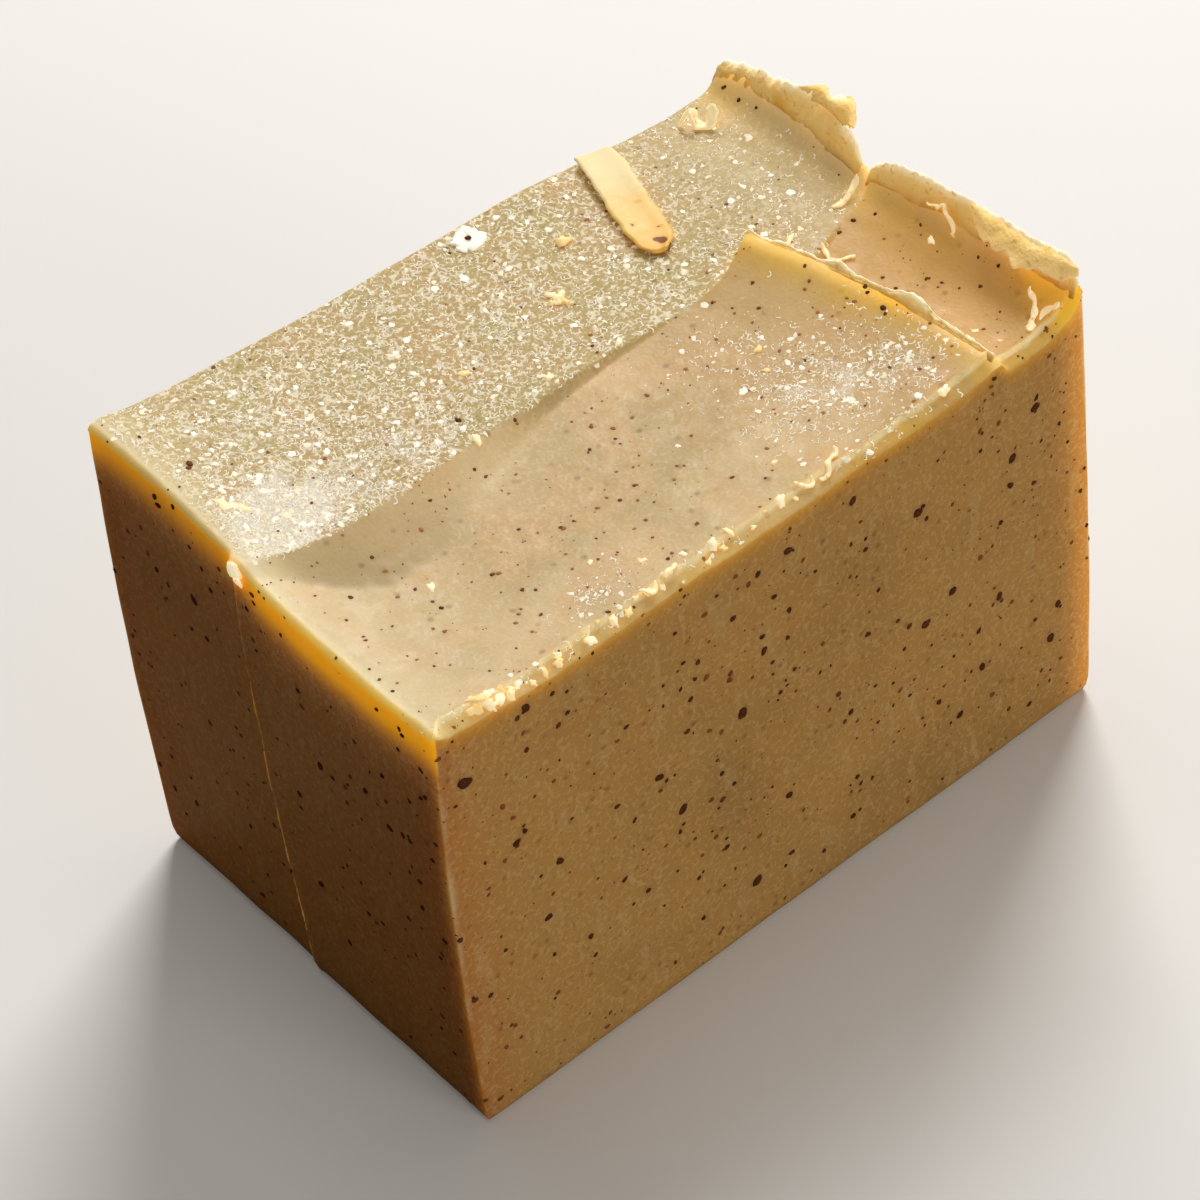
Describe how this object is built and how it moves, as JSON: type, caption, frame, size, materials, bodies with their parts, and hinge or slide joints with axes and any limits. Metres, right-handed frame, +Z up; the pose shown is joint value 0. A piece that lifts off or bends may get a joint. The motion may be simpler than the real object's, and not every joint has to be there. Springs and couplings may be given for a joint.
{
  "type": "bar of soap",
  "caption": "Hand-cut block of soap with a flat base and a pared top of shallow scoops and curled lips, a loose shaving and crumbs resting on it.",
  "frame": {"origin": "middle of the flat base that the bar stands on", "axes": "+Z up out of the base, +X along the bar's length towards the end with the curled lips, +Y across the bar from its front face to its back face"},
  "size_m": [0.0812, 0.0506, 0.0575],
  "materials": {
    "soap": "waxy, slightly translucent amber-brown soap with fine dark grains",
    "pared_soap": "thin pale soap, waxy"
  },
  "bodies": {
    "root": {"soap_block": "soap", "loose_shaving": "pared_soap", "star_crumb": "pared_soap", "chip_crumb": "pared_soap", "curl_crumb": "pared_soap", "flake_crumb": "pared_soap"}
  },
  "joints": []
}
